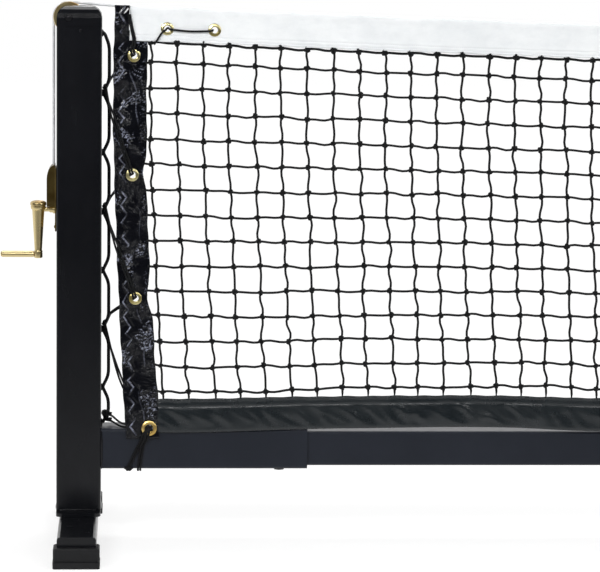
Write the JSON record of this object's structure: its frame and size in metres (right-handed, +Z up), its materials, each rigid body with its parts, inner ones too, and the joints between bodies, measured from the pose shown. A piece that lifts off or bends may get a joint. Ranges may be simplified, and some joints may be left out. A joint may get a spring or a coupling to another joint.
{
  "type": "portable pickleball net",
  "caption": "Portable court net: square posts on floor feet, a telescoping crossbar, a laced net with a white headband, and a worm-gear winch with a crank.",
  "frame": {"origin": "middle of the footprint on the floor, halfway between the two ends of the object", "axes": "+Z up, +X along the net from the winch post to the anchor post, +Y across the net away from the lacing side"},
  "size_m": [6.9722, 0.496, 0.9276],
  "materials": {
    "black_powder_coat": "glossy black powder coat on steel tube",
    "polished_brass": "polished brass and brass plating, lightly worn",
    "black_vinyl": "glossy black coated vinyl, creased",
    "white_vinyl": "white vinyl-coated polyester, stitched",
    "black_cord": "black braided cord and twine",
    "zinc_steel": "zinc-plated steel",
    "black_bolt": "black oxide steel fastener",
    "black_rubber": "matt black moulded rubber",
    "white_coated_cable": "white plastic sheath over steel cable",
    "white_webbing": "white woven webbing"
  },
  "bodies": {
    "crossbar": {"left_crossbar_tube": "black_powder_coat", "left_headband_grommet_1": "polished_brass", "left_headband_grommet_2": "polished_brass", "left_headband_tie": "black_cord", "right_crossbar_tube": "black_powder_coat", "right_headband_grommet_1": "polished_brass", "right_headband_grommet_2": "polished_brass", "right_headband_tie": "black_cord", "crossbar_coupler": "black_powder_coat", "net_mesh": "black_cord", "headband": "white_vinyl", "headband_cable": "white_coated_cable", "bottom_band": "black_vinyl", "center_strap": "white_webbing", "strap_buckle": "zinc_steel"},
    "left_frame": {"left_post": "black_powder_coat", "left_post_cap": "black_powder_coat", "left_base_plate": "black_powder_coat", "left_foot": "black_powder_coat", "left_front_shoe": "black_rubber", "left_rear_shoe": "black_rubber", "left_sleeve": "black_powder_coat", "left_lacing_bar": "black_powder_coat", "left_pulley_axle": "black_bolt", "left_cable": "white_coated_cable", "left_side_band": "black_vinyl", "left_side_grommet_1": "polished_brass", "left_side_grommet_2": "polished_brass", "left_side_grommet_3": "polished_brass", "left_corner_grommet": "polished_brass", "left_lacing_cord": "black_cord", "winch_frame": "polished_brass", "winch_cover": "polished_brass"},
    "right_frame": {"right_post": "black_powder_coat", "right_post_cap": "black_powder_coat", "right_base_plate": "black_powder_coat", "right_foot": "black_powder_coat", "right_front_shoe": "black_rubber", "right_rear_shoe": "black_rubber", "right_sleeve": "black_powder_coat", "right_lacing_bar": "black_powder_coat", "right_pulley_axle": "black_bolt", "right_cable": "white_coated_cable", "right_side_band": "black_vinyl", "right_side_grommet_1": "polished_brass", "right_side_grommet_2": "polished_brass", "right_side_grommet_3": "polished_brass", "right_corner_grommet": "polished_brass", "right_lacing_cord": "black_cord", "right_cable_anchor": "black_powder_coat"},
    "crank": {"worm_shaft": "polished_brass", "crank_arm": "polished_brass"},
    "crank_handle": {"crank_grip": "polished_brass"},
    "winch_wheel": {"worm_wheel": "polished_brass", "cable_drum": "zinc_steel"},
    "left_pulley": {"left_pulley": "polished_brass"},
    "right_pulley": {"right_pulley": "polished_brass"},
    "left_set_bolt": {"left_set_bolt": "black_bolt"},
    "right_set_bolt": {"right_set_bolt": "black_bolt"}
  },
  "joints": [
    {"name": "left_frame_slide", "type": "slide", "parent": "crossbar", "child": "left_frame", "axis": [-1, 0, 0], "range_m": [0, 0.04]},
    {"name": "right_frame_slide", "type": "slide", "parent": "crossbar", "child": "right_frame", "axis": [1, 0, 0], "range_m": [0, 0.04]},
    {"name": "crank_turn", "type": "hinge", "parent": "left_frame", "child": "crank", "pos_m": [-3.41965, -0.009, 0.5733], "axis": [1, 0, 0], "continuous": true},
    {"name": "crank_grip_spin", "type": "hinge", "parent": "crank", "child": "crank_handle", "pos_m": [-3.45575, -0.009, 0.4963], "axis": [1, 0, 0], "continuous": true},
    {"name": "winch_wheel_turn", "type": "hinge", "parent": "left_frame", "child": "winch_wheel", "pos_m": [-3.37425, -0.009, 0.6043], "axis": [0, 1, 0], "continuous": true},
    {"name": "left_pulley_turn", "type": "hinge", "parent": "left_frame", "child": "left_pulley", "pos_m": [-3.36795, 0, 0.9], "axis": [0, 1, 0], "continuous": true},
    {"name": "right_pulley_turn", "type": "hinge", "parent": "right_frame", "child": "right_pulley", "pos_m": [3.44965, 0, 0.9], "axis": [0, 1, 0], "continuous": true},
    {"name": "left_set_bolt_turn", "type": "hinge", "parent": "left_frame", "child": "left_set_bolt", "pos_m": [-3.00365, 0, 0.125], "axis": [0, 0, -1], "range_deg": [0, 360]},
    {"name": "right_set_bolt_turn", "type": "hinge", "parent": "right_frame", "child": "right_set_bolt", "pos_m": [3.08535, 0, 0.125], "axis": [0, 0, -1], "range_deg": [0, 360]}
  ],
  "couplings": [
    {"joint": "winch_wheel_turn", "follows": "crank_turn", "ratio": 0.041667},
    {"joint": "left_pulley_turn", "follows": "crank_turn", "ratio": 0.031492}
  ]
}
